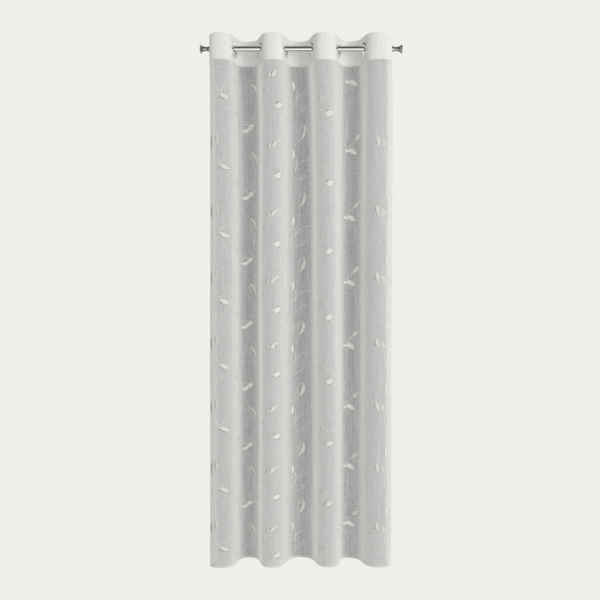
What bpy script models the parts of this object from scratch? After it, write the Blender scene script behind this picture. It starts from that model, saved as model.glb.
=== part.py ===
"""Sheer voile curtain hanging from its eyelets on a metal rod.

One panel of voile is sewn under an opaque heading band. Eight metal eyelets are clamped
in the band and threaded on the rod, so the cloth hangs in four front and three back
folds, with its two side edges turned to the back. A trumpet finial closes each rod end.

Metres, +Z up. The face of the curtain looks along -Y. The origin is the middle of the rod.
"""

import math
from collections import namedtuple

import bmesh
import bpy
import numpy as np

# Cloth, by height from the rod's axis. The panel hangs a fitted gap under the band.
TOP = 0.058
DROP = 2.500
BAND_HEIGHT = 0.125
BAND_THICKNESS = 0.002
VOILE_THICKNESS = 0.0015
HEM_THICKNESS = 0.0024
BOTTOM_HEM = 0.010
FITTED_GAP = 0.0003

# Rod
ROD_RADIUS = 0.0125
ROD_HALF_LENGTH = 0.438
ROD_SIDES = 32
FINIAL_SIDES = 24

# Eyelets: a channel of metal, open outwards, that grips the band between two flanges.
EYELET_HOLE_RADIUS = 0.019
EYELET_CORE_RADIUS = 0.0213
EYELET_RIM_RADIUS = 0.035
EYELET_HALF_DEPTH = 0.004
EYELET_SIDES = 24
PUNCHED_RADIUS = 0.0218
PUNCH_LENGTH = 0.012
HANGING_GAP = 0.0004
FLAT_AT_EYELET = 0.036
LEAST_ROUND = 0.1

# The cloth from its left edge to its right, one row for each stretch between two eyelets.
# cloth: its length along the fold. turn: the angle, in degrees, between the cloth and the
# rod at the stretch's right end, where the cloth crosses under the rod. fullness: 1 for an
# evenly round fold, and more for one with a flatter face between tighter bends. These are
# given in the band, which the rod holds, and at the hem, where the folds have wandered.
# crest: where the fold stands out furthest, from -1 at its left end to 1 at its right.
Stretch = namedtuple(
    "Stretch",
    "cloth_in_band cloth_at_hem turn_in_band turn_at_hem fullness_in_band fullness_at_hem crest",
)
STRETCHES = (
    Stretch(0.0455, 0.0455, 98, 104, 1.0, 1.0, 0.0),  # left edge, behind the first fold
    Stretch(0.2045, 0.2210, 72, 80, 1.6, 1.6, -0.08),  # front fold
    Stretch(0.1975, 0.1875, 72.5, 79, 1.25, 1.05, 0.0),  # back fold
    Stretch(0.1975, 0.1995, 70.5, 72, 1.25, 1.05, 0.0),  # front fold
    Stretch(0.1990, 0.2160, 73.5, 72, 1.25, 1.05, 0.0),  # back fold
    Stretch(0.2030, 0.1925, 67.5, 83, 1.25, 1.05, 0.0),  # front fold
    Stretch(0.1875, 0.1680, 70.5, 71, 1.25, 1.05, 0.0),  # back fold
    Stretch(0.2200, 0.2245, 98, 104, 1.8, 1.7, 0.10),  # front fold
    Stretch(0.0455, 0.0455, 98, 110, 1.0, 1.0, 0.0),  # right edge, behind the last fold
)
SIDE_STRETCHES = (0, len(STRETCHES) - 1)
EYELET_COUNT = len(STRETCHES) - 1
LEFT_EDGE_TURN_IN_BAND = 98
LEFT_EDGE_TURN_AT_HEM = 125
FIRST_EYELET_X = -0.4257

# How the folds change down the panel: soft voile turns a little further than the band,
# and sways by a small angle as it falls.
SOFT_BELOW_BAND = 0.30
SOFT_TURN = 6.7
SOFT_TURN_POWER = 1.5
SWAY_TURN = 1.0
SWAY_LENGTH = 1.1
SWAY_SHIFT = 2.0

# Mesh of the cloth
STEPS_IN_FOLD = 10
STEPS_IN_SIDE = 3
PANEL_ROWS = 18
ROW_CROWDING = 1.35
FINE_STEPS = 12

BAND_BOTTOM = TOP - BAND_HEIGHT
PANEL_TOP = BAND_BOTTOM - FITTED_GAP
HEM = TOP - DROP
EYELET_Z = -(EYELET_HOLE_RADIUS - ROD_RADIUS - HANGING_GAP)


def clear_scene():
    for old in list(bpy.data.objects):
        bpy.data.objects.remove(old, do_unlink=True)


def new_collection(name):
    collection = bpy.data.collections.new(name)
    bpy.context.scene.collection.children.link(collection)
    return collection


def plain_material(name, colour, roughness, metallic):
    material = bpy.data.materials.new(name)
    material.use_nodes = True
    shader = material.node_tree.nodes["Principled BSDF"]
    shader.inputs["Base Color"].default_value = (*colour, 1.0)
    shader.inputs["Roughness"].default_value = roughness
    shader.inputs["Metallic"].default_value = metallic
    material.diffuse_color = (*colour, 1.0)
    return material


def new_object(name, mesh, collection, material):
    made = bpy.data.objects.new(name, mesh)
    collection.objects.link(made)
    mesh.materials.append(material)
    return made


def move_to(collection, piece):
    for holder in list(piece.users_collection):
        holder.objects.unlink(piece)
    collection.objects.link(piece)


def between(start, end, part):
    return start + (end - start) * part


def settled(height):
    """0 in the band, which the rod holds, and 1 at the hem, where the folds lie freely."""
    down = max(0.0, (PANEL_TOP - height) / (PANEL_TOP - HEM))
    return 1.0 - (1.0 - down) ** 3


def softness(height):
    """0 in the band, rising smoothly to 1 where the voile hangs softly."""
    down = min(1.0, max(0.0, (PANEL_TOP - height) / SOFT_BELOW_BAND))
    return 0.5 - 0.5 * math.cos(math.pi * down)


def turns_at_ends(height):
    """The cloth's angle to the rod at both edges and all eyelets, left to right.

    It is positive where the cloth runs to the back as it runs to the right. The cloth
    crosses under the rod by turns, and each side stretch keeps its eyelet's direction.
    """
    part = settled(height)
    soft = softness(height)
    sizes = [between(LEFT_EDGE_TURN_IN_BAND, LEFT_EDGE_TURN_AT_HEM, part)]
    for number, row in enumerate(STRETCHES):
        under_band = row.turn_in_band + SOFT_TURN * soft**SOFT_TURN_POWER
        down = math.tau * (PANEL_TOP - height) / SWAY_LENGTH
        sway = SWAY_TURN * soft * math.sin(down + SWAY_SHIFT * number)
        sizes.append(between(under_band, row.turn_at_hem, part) + sway)
    signs = [-1 if eyelet % 2 == 0 else 1 for eyelet in range(EYELET_COUNT)]
    signs = [signs[0], *signs, signs[-1]]
    return [math.radians(size * sign) for size, sign in zip(sizes, signs)]


def columns_in(number):
    """Where the mesh's columns cross a stretch, from -1 at its left end to 1 at its right.

    The first and last columns inside a fold end the flat places at its two eyelets.
    """
    if number in SIDE_STRETCHES:
        return np.linspace(-1.0, 1.0, STEPS_IN_SIDE + 1)
    flat = 1.0 - 2.0 * FLAT_AT_EYELET / STRETCHES[number].cloth_in_band
    return np.concatenate([[-1.0], np.linspace(-flat, flat, STEPS_IN_FOLD - 1), [1.0]])


def fold_swing(row, flat, middles, height):
    """How far the cloth has swung from a fold's crest: -1 at its left end, 1 at its right.

    In the band it is flat across the eyelets and round between them. Below, it swings as
    a sine.
    """
    fullness = between(row.fullness_in_band, row.fullness_at_hem, settled(height))
    to_flat = np.where(middles < row.crest, flat + row.crest, flat - row.crest)
    to_end = np.where(middles < row.crest, 1.0 + row.crest, 1.0 - row.crest)
    in_band = np.clip((middles - row.crest) / to_flat, -1.0, 1.0)
    hanging = np.sin((middles - row.crest) / to_end * math.pi / 2.0)
    swing = between(in_band, hanging, softness(height))
    return np.sign(swing) * np.abs(swing) ** fullness


def stretch_line(number, height, turn_before, turn_after):
    """(x, y) of one stretch's columns at one height, from its left end, which is left out."""
    row = STRETCHES[number]
    cloth = between(row.cloth_in_band, row.cloth_at_hem, settled(height))
    columns = columns_in(number)
    fine_count = (len(columns) - 1) * FINE_STEPS
    fine = np.interp(np.arange(fine_count + 1) / FINE_STEPS, np.arange(len(columns)), columns)
    middles = (fine[1:] + fine[:-1]) / 2.0

    in_a_fold = number not in SIDE_STRETCHES
    flat = max(1.0 - 2.0 * FLAT_AT_EYELET / cloth, LEAST_ROUND)
    if in_a_fold:
        swing = fold_swing(row, flat, middles, height)
        angle = np.where(swing < 0.0, turn_before, turn_after) * np.abs(swing)
    else:
        angle = between(turn_before, turn_after, (middles + 1.0) / 2.0)
    steps = np.stack([np.cos(angle), np.sin(angle)], axis=1)
    line = np.cumsum(steps * np.diff(fine)[:, None] * cloth / 2.0, axis=0)

    if in_a_fold:
        # Both ends of a fold lie under the rod, so what is left over is eased out in it.
        eased = np.clip((fine[1:] / flat + 1.0) / 2.0, 0.0, 1.0)
        line[:, 1] -= line[-1, 1] * eased * eased * (3.0 - 2.0 * eased)
    return line[FINE_STEPS - 1 :: FINE_STEPS]


def fold_line(height):
    """The middle of the cloth at one height: an array of (x, y), left edge to right edge.

    The run of the curve comes from the cloth's length, so the panel keeps its width.
    """
    turns = turns_at_ends(height)
    points = [np.zeros((1, 2))]
    for number in range(len(STRETCHES)):
        line = stretch_line(number, height, turns[number], turns[number + 1])
        points.append(points[-1][-1] + line)
    points = np.concatenate(points)
    return points - points[STEPS_IN_SIDE] + (FIRST_EYELET_X, 0.0)


def eyelet_places():
    """Each eyelet's centre, and the angle to the rod of the flat cloth around it."""
    line = fold_line(TOP)
    places = []
    for count in range(EYELET_COUNT):
        column = STEPS_IN_SIDE + STEPS_IN_FOLD * count
        flat_end = column + 1 if count == 0 else column - 1
        x, y = line[column]
        across_x, across_y = line[max(column, flat_end)] - line[min(column, flat_end)]
        places.append(((x, y, EYELET_Z), math.atan2(across_y, across_x)))
    return places


def cloth_sheet(name, heights, collection, material):
    """An open sheet through the fold lines at these heights, top first."""
    sheet = bmesh.new()
    rows = [[sheet.verts.new((x, y, height)) for x, y in fold_line(height)] for height in heights]
    for upper, lower in zip(rows, rows[1:]):
        for left, right in zip(range(len(upper) - 1), range(1, len(upper))):
            sheet.faces.new((upper[left], lower[left], lower[right], upper[right]))
    mesh = bpy.data.meshes.new(name)
    sheet.to_mesh(mesh)
    sheet.free()
    mesh.shade_smooth()
    return new_object(name, mesh, collection, material)


def thicken(sheet, thickness):
    solid = sheet.modifiers.new("thickness", "SOLIDIFY")
    solid.thickness = thickness
    solid.offset = 0.0
    solid.use_even_offset = True
    return solid


def panel_heights():
    """Rows of the panel: closer together near the band, and one more at the hem's fold."""
    down = (np.arange(PANEL_ROWS + 1) / PANEL_ROWS) ** ROW_CROWDING
    return [*between(PANEL_TOP, HEM + BOTTOM_HEM, down), HEM]


def make_panel(collection):
    """Voile with narrow turned hems at its bottom and sides, which are part of the cloth."""
    voile = plain_material("voile", (0.80, 0.81, 0.80), 0.75, 0.0)
    heights = panel_heights()
    panel = cloth_sheet("voile_panel", heights, collection, voile)
    across = len(panel.data.vertices) // len(heights)
    hems = panel.vertex_groups.new(name="hems")
    for vertex in panel.data.vertices:
        row, column = divmod(vertex.index, across)
        in_hem = row >= len(heights) - 2 or column in (0, across - 1)
        hems.add([vertex.index], 1.0 if in_hem else 0.0, "REPLACE")
    solid = thicken(panel, HEM_THICKNESS)
    solid.vertex_group = hems.name
    solid.thickness_vertex_group = VOILE_THICKNESS / HEM_THICKNESS


def make_band(collection, cutters):
    """The opaque heading band, with a punched hole for each eyelet."""
    white = plain_material("heading_cloth", (0.90, 0.90, 0.89), 0.8, 0.0)
    band = cloth_sheet("heading_band", (TOP, BAND_BOTTOM), collection, white)
    thicken(band, BAND_THICKNESS)
    for number, (place, turn) in enumerate(eyelet_places(), start=1):
        bpy.ops.mesh.primitive_cylinder_add(
            vertices=EYELET_SIDES,
            radius=PUNCHED_RADIUS,
            depth=PUNCH_LENGTH,
            location=place,
            rotation=(math.pi / 2.0, 0.0, turn),
        )
        punch = bpy.context.object
        punch.name = f"punch_{number}"
        punch.display_type = "WIRE"
        punch.hide_render = True
        move_to(cutters, punch)
        hole = band.modifiers.new(punch.name, "BOOLEAN")
        hole.operation = "DIFFERENCE"
        hole.solver = "EXACT"
        hole.object = punch


def turned(name, profile, sides, collection, material):
    """A turned piece: (radius, height) points, down the outer side, spun about local Z.

    A profile that ends away from the axis is closed into a ring.
    """
    mesh = bpy.data.meshes.new(name)
    points = [(radius, 0.0, height) for radius, height in profile]
    edges = [(index, index + 1) for index in range(len(points) - 1)]
    if profile[0][0] > 0.0:
        edges.append((len(points) - 1, 0))
    mesh.from_pydata(points, edges, [])
    piece = new_object(name, mesh, collection, material)
    spin = piece.modifiers.new("turning", "SCREW")
    spin.axis = "Z"
    spin.angle = math.tau
    spin.steps = sides
    spin.render_steps = sides
    spin.use_merge_vertices = True
    spin.merge_threshold = 0.00005
    spin.use_smooth_shade = True
    return piece


def make_eyelets(collection):
    """Rings with two rounded flanges and a core, which run through the band's holes."""
    steel = plain_material("eyelet_metal", (0.72, 0.72, 0.71), 0.18, 1.0)
    grip = BAND_THICKNESS / 2.0 + FITTED_GAP
    front = [
        (EYELET_HOLE_RADIUS, 0.0014),
        (EYELET_HOLE_RADIUS + 0.0014, EYELET_HALF_DEPTH),
        (EYELET_RIM_RADIUS - 0.0045, 0.0037),
        (EYELET_RIM_RADIUS - 0.0006, 0.0022),
        (EYELET_RIM_RADIUS - 0.0004, grip),
        (EYELET_CORE_RADIUS, grip),
    ]
    back = [(radius, -height) for radius, height in reversed(front)]
    first = turned("eyelet_1", front + back, EYELET_SIDES, collection, steel)
    for number, (place, turn) in enumerate(eyelet_places(), start=1):
        eyelet = first
        if number > 1:
            eyelet = first.copy()
            eyelet.name = f"eyelet_{number}"
            collection.objects.link(eyelet)
        eyelet.location = place
        eyelet.rotation_euler = (math.pi / 2.0, 0.0, turn)


def make_rod(collection, metal):
    bpy.ops.mesh.primitive_cylinder_add(
        vertices=ROD_SIDES,
        radius=ROD_RADIUS,
        depth=2.0 * ROD_HALF_LENGTH,
        rotation=(0.0, math.pi / 2.0, 0.0),
    )
    rod = bpy.context.object
    rod.name = "rod"
    rod.data.materials.append(metal)
    rod.data.shade_smooth()
    rod.data.set_sharp_from_angle(angle=math.radians(40.0))
    move_to(collection, rod)


def make_finials(collection, metal):
    """Trumpets: a collar at the rod, a waist, a wide rim and a low cone that ends them."""
    profile = (
        (0.0, 0.0448),
        (0.0060, 0.0436),
        (0.0194, 0.0403),
        (0.0201, 0.0393),
        (0.0196, 0.0383),
        (0.0155, 0.0335),
        (0.0122, 0.0275),
        (0.0099, 0.0200),
        (0.0091, 0.0130),
        (0.0095, 0.0070),
        (0.0110, 0.0030),
        (0.0112, 0.0),
        (0.0, 0.0),
    )
    for name, side in (("finial_left", -1), ("finial_right", 1)):
        finial = turned(name, profile, FINIAL_SIDES, collection, metal)
        finial.location = (side * (ROD_HALF_LENGTH + FITTED_GAP), 0.0, 0.0)
        finial.rotation_euler = (0.0, side * math.pi / 2.0, 0.0)


clear_scene()
curtain = new_collection("sheer_curtain_on_rod")
punches = new_collection("cutters")
rod_metal = plain_material("rod_metal", (0.70, 0.70, 0.69), 0.12, 1.0)
make_panel(curtain)
make_band(curtain, punches)
make_eyelets(curtain)
make_rod(curtain, rod_metal)
make_finials(curtain, rod_metal)
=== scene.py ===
"""Looks of the sheer voile curtain on its rod: cloth, leaf motifs, heading, metalwork and stage.

Everything is in metres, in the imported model's frame: +Z up, the room on the -Y side, and
the origin at the middle of the rod, on its axis.
"""

import math
from collections import namedtuple

import bmesh
import bpy
import numpy as np
from mathutils import Matrix, Vector


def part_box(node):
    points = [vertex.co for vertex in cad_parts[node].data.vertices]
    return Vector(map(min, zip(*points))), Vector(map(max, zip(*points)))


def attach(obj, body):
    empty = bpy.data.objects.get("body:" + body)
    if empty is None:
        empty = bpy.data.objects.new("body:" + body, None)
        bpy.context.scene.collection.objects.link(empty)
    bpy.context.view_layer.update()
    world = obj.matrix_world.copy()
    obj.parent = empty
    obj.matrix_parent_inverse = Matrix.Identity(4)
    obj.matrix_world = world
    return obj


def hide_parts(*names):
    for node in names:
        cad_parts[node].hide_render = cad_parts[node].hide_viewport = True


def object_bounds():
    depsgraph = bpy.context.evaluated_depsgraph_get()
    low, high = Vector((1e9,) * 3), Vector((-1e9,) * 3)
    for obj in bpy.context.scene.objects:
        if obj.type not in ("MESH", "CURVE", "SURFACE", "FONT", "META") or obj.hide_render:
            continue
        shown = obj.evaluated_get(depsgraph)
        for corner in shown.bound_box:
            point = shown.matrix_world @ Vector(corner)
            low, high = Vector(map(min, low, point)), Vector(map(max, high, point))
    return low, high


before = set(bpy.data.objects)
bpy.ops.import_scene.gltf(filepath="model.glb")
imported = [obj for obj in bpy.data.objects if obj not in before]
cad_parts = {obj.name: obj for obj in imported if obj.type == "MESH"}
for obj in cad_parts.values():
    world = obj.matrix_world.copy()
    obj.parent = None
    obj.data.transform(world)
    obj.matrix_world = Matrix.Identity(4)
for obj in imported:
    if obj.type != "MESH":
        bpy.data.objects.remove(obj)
cad_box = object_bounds()
scene = bpy.context.scene
scene.view_settings.view_transform = "Standard"

# ------------------------------------------------------------
# Camera: level, in front of the middle of the curtain. The lens looks down by its shift
# alone, so upright edges stay parallel.
# ------------------------------------------------------------
CAMERA_PLACE = (-0.0059, -3.55, -1.1300)
CAMERA_LENS = 44.77
CAMERA_SHIFT = -0.0224

lens = bpy.data.cameras.new("camera")
lens.lens = CAMERA_LENS
lens.sensor_width = 36.0
lens.shift_y = CAMERA_SHIFT
camera = bpy.data.objects.new("camera", lens)
camera.location = CAMERA_PLACE
camera.rotation_euler = (math.radians(90.0), 0.0, 0.0)
scene.collection.objects.link(camera)
scene.camera = camera

# ------------------------------------------------------------
# Stage: a seamless pale floor well below the hem, a pale studio around it, and a large
# soft light from the right of the room. The studio is darker behind and at the sides than
# in front, and metal mirrors a dark ceiling, a white room and a grey floor.
# ------------------------------------------------------------
BACKDROP = (0.871, 0.863, 0.823)
# Painted shade: a dim colour that shows only through the sheer cloth, standing in for the shade
# behind the curtain.
SHADE_SEEN_THROUGH_CLOTH = (0.048, 0.052, 0.066)
FRONT_LIGHT = 1.02
BEHIND_LIGHT = 0.38
OVERHEAD_LIGHT = 0.80
LEFT_SHARE = 0.40
RIGHT_SHARE = 0.42
MIRRORED_ROOM = 1.35
MIRRORED_LEFT = 0.12
MIRRORED_FLOOR = 0.30
MIRRORED_BEHIND = 1.0
MIRRORED_CEILING = 0.13

# Where one part of the studio blends into the next, as the part of a direction that points
# to the right (X), to the window (Y) or up (Z), first for the cloth and then for metal.
LEFT_TO_FRONT = (-0.9, 0.2)
FRONT_TO_RIGHT = (0.45, 0.95)
FRONT_TO_BEHIND = (-0.15, 0.35)
LEVEL_TO_OVERHEAD = (0.35, 0.75)
LEFT_TO_ROOM = (-0.60, -0.15)
FLOOR_TO_ROOM = (-0.88, -0.78)
ROOM_TO_CEILING = (-0.04, 0.08)
FLOOR_TO_CEILING_BEHIND = (-0.05, 0.05)
MIDDLE_TO_RIGHT_BEHIND = (0.30, 0.42)
ROOM_TO_BEHIND = (-0.1, 0.1)

FLOOR_BELOW_HEM = 0.33
FLOOR_RADIUS = 9.0
HEM = cad_box[0].z
KEY_PLACE = (3.0, -3.2, -0.6)
KEY_SIZE = (1.8, 2.6)
KEY_POWER = 117.0
KEY_COLOUR = (1.0, 0.985, 0.96)


def set_sockets(node, values):
    """Sets a node's own sockets, by name, to numbers or colours."""
    for name, value in values.items():
        node.inputs[name].default_value = value


def map_range(tree, output, span, start, end, smooth=False):
    """An output's values over a span, mapped from start to end."""
    ease = tree.nodes.new("ShaderNodeMapRange")
    if smooth:
        ease.interpolation_type = "SMOOTHSTEP"
    set_sockets(ease, {"From Min": span[0], "From Max": span[1], "To Min": start, "To Max": end})
    tree.links.new(output, ease.inputs["Value"])
    return ease.outputs["Result"]


def feed(tree, socket, value):
    """Sets a socket to a number, or links an output to it."""
    if isinstance(value, float):
        socket.default_value = value
    else:
        tree.links.new(value, socket)


def mix_shaders(tree, share, first, second):
    """Two shaders in one, with this share of the second."""
    mix = tree.nodes.new("ShaderNodeMixShader")
    feed(tree, mix.inputs["Fac"], share)
    tree.links.new(first, mix.inputs[1])
    tree.links.new(second, mix.inputs[2])
    return mix.outputs["Shader"]


def studio_world():
    """Pale where the camera sees it, and a painted dim shade where it is seen through the sheer
    cloth.
    """
    world = bpy.data.worlds.new("studio")
    scene.world = world
    world.use_nodes = True
    tree = world.node_tree
    tree.nodes.clear()
    place = tree.nodes.new("ShaderNodeTexCoord")
    parts = tree.nodes.new("ShaderNodeSeparateXYZ")
    tree.links.new(place.outputs["Generated"], parts.inputs[0])
    to_right, to_window, up = parts.outputs
    rays = tree.nodes.new("ShaderNodeLightPath").outputs

    def blend(output, span, start, end):
        """One value that eases into another over a span of directions."""
        mix = tree.nodes.new("ShaderNodeMix")
        tree.links.new(map_range(tree, output, span, 0.0, 1.0, smooth=True), mix.inputs["Factor"])
        feed(tree, mix.inputs["A"], start)
        feed(tree, mix.inputs["B"], end)
        return mix.outputs["Result"]

    def light(strength, colour=(1.0, 1.0, 1.0)):
        """A glow whose strength is a number or an output."""
        shine = tree.nodes.new("ShaderNodeBackground")
        shine.inputs["Color"].default_value = (*colour, 1.0)
        feed(tree, shine.inputs["Strength"], strength)
        return shine.outputs["Background"]

    left = blend(to_right, LEFT_TO_FRONT, FRONT_LIGHT * LEFT_SHARE, FRONT_LIGHT)
    front = blend(to_right, FRONT_TO_RIGHT, left, FRONT_LIGHT * RIGHT_SHARE)
    around = blend(to_window, FRONT_TO_BEHIND, front, BEHIND_LIGHT)
    on_cloth = light(blend(up, LEVEL_TO_OVERHEAD, around, OVERHEAD_LIGHT))

    wall = blend(to_right, LEFT_TO_ROOM, MIRRORED_LEFT, MIRRORED_ROOM)
    under_ceiling = blend(up, ROOM_TO_CEILING, wall, MIRRORED_CEILING)
    room = blend(up, FLOOR_TO_ROOM, MIRRORED_FLOOR, under_ceiling)
    middle = blend(up, FLOOR_TO_CEILING_BEHIND, MIRRORED_FLOOR, MIRRORED_CEILING)
    behind = blend(to_right, MIDDLE_TO_RIGHT_BEHIND, middle, MIRRORED_BEHIND)
    mirrored = light(blend(to_window, ROOM_TO_BEHIND, room, behind))

    lit = mix_shaders(tree, rays["Is Glossy Ray"], on_cloth, mirrored)
    pale, dim = light(1.0, BACKDROP), light(1.0, SHADE_SEEN_THROUGH_CLOTH)
    sheer = mix_shaders(tree, rays["Transparent Depth"], pale, dim)
    out = tree.nodes.new("ShaderNodeOutputWorld")
    tree.links.new(mix_shaders(tree, rays["Is Camera Ray"], lit, sheer), out.inputs["Surface"])


def soft_light(name, place, size, power, colour, target):
    """A large lamp turned to its target, which metal doesn't mirror."""
    lamp = bpy.data.lights.new(name, "AREA")
    lamp.shape = "RECTANGLE"
    lamp.size, lamp.size_y = size
    lamp.energy = power
    lamp.color = colour
    holder = bpy.data.objects.new(name, lamp)
    holder.location = place
    direction = Vector(target) - Vector(place)
    holder.rotation_euler = direction.to_track_quat("-Z", "Y").to_euler()
    holder.visible_glossy = False
    scene.collection.objects.link(holder)


studio_world()
middle_of_cloth = (0.0, 0.0, (cad_box[0].z + cad_box[1].z) / 2.0)
soft_light("key_light", KEY_PLACE, KEY_SIZE, KEY_POWER, KEY_COLOUR, middle_of_cloth)

bpy.ops.mesh.primitive_circle_add(
    vertices=96, radius=FLOOR_RADIUS, fill_type="NGON", location=(0.0, 0.0, HEM - FLOOR_BELOW_HEM)
)
floor = bpy.context.object
floor.name = "floor"
floor.visible_diffuse = False
floor.visible_glossy = False
floor_paint = bpy.data.materials.new("pale_floor")
floor_paint.use_nodes = True
floor_tree = floor_paint.node_tree
floor_tree.nodes.clear()
glows = []
# Seen through the sheer cloth, the floor shows the same painted dim shade.
for colour in (BACKDROP, SHADE_SEEN_THROUGH_CLOTH):
    glow = floor_tree.nodes.new("ShaderNodeEmission")
    glow.inputs["Color"].default_value = (*colour, 1.0)
    glows.append(glow.outputs["Emission"])
floor_rays = floor_tree.nodes.new("ShaderNodeLightPath").outputs
floor_look = mix_shaders(floor_tree, floor_rays["Transparent Depth"], *glows)
floor_out = floor_tree.nodes.new("ShaderNodeOutputMaterial")
floor_tree.links.new(floor_look, floor_out.inputs["Surface"])
floor.data.materials.append(floor_paint)

# ------------------------------------------------------------
# Voile panel: one width of thin, see-through white cloth, 1.50 m across, hanging from the
# heading in deep soft folds. A seam allowance runs up behind the heading.
# ------------------------------------------------------------
TOP = cad_box[1].z
BAND_HEIGHT = 0.125
BAND_BOTTOM = TOP - BAND_HEIGHT
SEAM_GAP = 0.0003
PANEL_TOP = BAND_BOTTOM - SEAM_GAP
CLOTH_WIDTH = 1.500
FLAT_AT_EYELET = 0.036
LEAST_ROUND = 0.1

# The cloth from its left edge to its right, one row for each stretch between two eyelets.
# cloth: its length along the fold. turn: the angle, in degrees, between the cloth and the
# rod at the stretch's right end, in line with an eyelet or at the cloth's edge. fullness: 1
# for an evenly round fold, and more for one with a flatter face between tighter bends. These
# are given in the band, which the rod holds, and at the hem, where the folds have wandered.
# crest: where the fold stands out furthest, from -1 at its left end to 1 at its right.
Stretch = namedtuple(
    "Stretch",
    "cloth_in_band cloth_at_hem turn_in_band turn_at_hem fullness_in_band fullness_at_hem crest",
)
STRETCHES = (
    Stretch(0.0455, 0.0455, 98, 104, 1.0, 1.0, 0.0),  # left edge, behind the first fold
    Stretch(0.2045, 0.2210, 72, 80, 1.6, 1.6, -0.08),  # front fold
    Stretch(0.1975, 0.1875, 72.5, 79, 1.25, 1.05, 0.0),  # back fold
    Stretch(0.1975, 0.1995, 70.5, 72, 1.25, 1.05, 0.0),  # front fold
    Stretch(0.1990, 0.2160, 73.5, 72, 1.25, 1.05, 0.0),  # back fold
    Stretch(0.2030, 0.1925, 67.5, 83, 1.25, 1.05, 0.0),  # front fold
    Stretch(0.1875, 0.1770, 70.5, 71, 1.25, 1.05, 0.0),  # back fold
    Stretch(0.2200, 0.2155, 98, 104, 1.8, 1.7, 0.10),  # front fold
    Stretch(0.0455, 0.0455, 98, 110, 1.0, 1.0, 0.0),  # right edge, behind the last fold
)
SIDE_STRETCHES = (0, len(STRETCHES) - 1)
EYELET_COUNT = len(STRETCHES) - 1
LEFT_EDGE_TURN_IN_BAND = 98
LEFT_EDGE_TURN_AT_HEM = 125
FIRST_EYELET_X = -0.4257
SOFT_BELOW_BAND = 0.30
SOFT_TURN = 6.7
SOFT_TURN_POWER = 1.5
SWAY_TURN = 1.0
SWAY_LENGTH = 1.1
SWAY_SHIFT = 2.0
SETTLE_POWER = 3
STEPS_IN_STRETCH = 96

# Creases: soft troughs (negative) and ridges along the cloth.
# across: metres from the cloth's left edge at the middle of the crease. top and bottom:
# heights where it fades out. lean: metres that it drifts to the right over its length.
Crease = namedtuple("Crease", "across top bottom half_width depth lean")
CREASES = (
    Crease(0.083, 0.05, -0.55, 0.0060, -0.0008, 0.006),
    Crease(0.097, 0.05, -0.90, 0.0065, 0.0008, 0.004),
    Crease(0.120, -0.10, -1.60, 0.0090, -0.0010, 0.010),
    Crease(0.168, -0.08, -1.30, 0.0110, -0.0012, 0.014),
    Crease(0.205, -0.40, -2.30, 0.0100, 0.0012, -0.010),
    Crease(0.150, -1.20, -2.44, 0.0120, -0.0012, -0.012),
    Crease(0.303, -0.08, -0.90, 0.0100, 0.0016, 0.010),
    Crease(0.345, -0.10, -1.70, 0.0090, -0.0013, -0.012),
    Crease(0.398, -0.60, -2.44, 0.0120, 0.0015, 0.010),
    Crease(0.325, -1.30, -2.44, 0.0100, -0.0014, 0.008),
    Crease(0.505, -0.08, -1.10, 0.0110, -0.0013, 0.012),
    Crease(0.556, -0.30, -2.10, 0.0120, 0.0012, -0.014),
    Crease(0.602, -0.09, -1.50, 0.0090, -0.0012, 0.008),
    Crease(0.585, -1.40, -2.44, 0.0100, -0.0012, -0.010),
    Crease(0.700, -0.08, -1.60, 0.0100, 0.0015, 0.012),
    Crease(0.752, -0.20, -2.44, 0.0090, -0.0015, -0.014),
    Crease(0.801, -0.70, -2.20, 0.0110, 0.0014, 0.010),
    Crease(0.905, -0.08, -1.20, 0.0110, -0.0013, 0.014),
    Crease(0.952, -0.35, -2.44, 0.0100, 0.0012, -0.012),
    Crease(1.010, -0.10, -1.90, 0.0120, -0.0012, 0.010),
    Crease(1.108, -0.08, -1.30, 0.0100, 0.0016, -0.010),
    Crease(1.148, -0.50, -2.44, 0.0090, -0.0014, 0.012),
    Crease(1.190, -0.90, -2.30, 0.0100, 0.0013, -0.008),
    Crease(1.290, -0.08, -1.50, 0.0120, -0.0012, 0.012),
    Crease(1.345, -0.30, -2.30, 0.0110, 0.0012, -0.014),
    Crease(1.395, -0.12, -1.70, 0.0100, -0.0010, 0.010),
)
CREASE_FADE = 0.22
CREASE_LEFT_AT_BOTTOM = 0.35
CREASE_WANDER = 0.0025
WANDER_TURN = 9.0
WANDER_SHIFT = 40.0

# The heading's top edge droops a little at its end folds and in its back folds: metres
# across, how wide, how far. The droop is gone a little above the eyelets.
DROOPS = (
    (0.070, 0.034, 0.010),
    (0.352, 0.060, 0.002),
    (0.748, 0.060, 0.002),
    (1.146, 0.060, 0.002),
    (1.432, 0.050, 0.018),
)
DROOP_REACH = 0.052

PANEL_ROWS = 190
BAND_ROWS = 12
CLOTH_COLUMNS = 375
SEAM_ALLOWANCE = 0.008
SEAM_BEHIND = 0.0014
VOILE_COLOUR = (0.905, 0.900, 0.888)
VOILE_DENSITY = 0.64
VOILE_UNEVENNESS = 0.10
# Painted light and shade: how much less open the cloth is in the front folds and more open in the
# back folds, and the depth (Y) over which one eases into the other.
LIT_FRONT_FOLD_GAPS = 0.78
SHADED_BACK_FOLD_GAPS = 1.25
FRONT_TO_SHADED_BACK_FOLDS = (-0.06, 0.06)
EDGE_ON = 0.02
VOILE_THROUGH = 0.57

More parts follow.
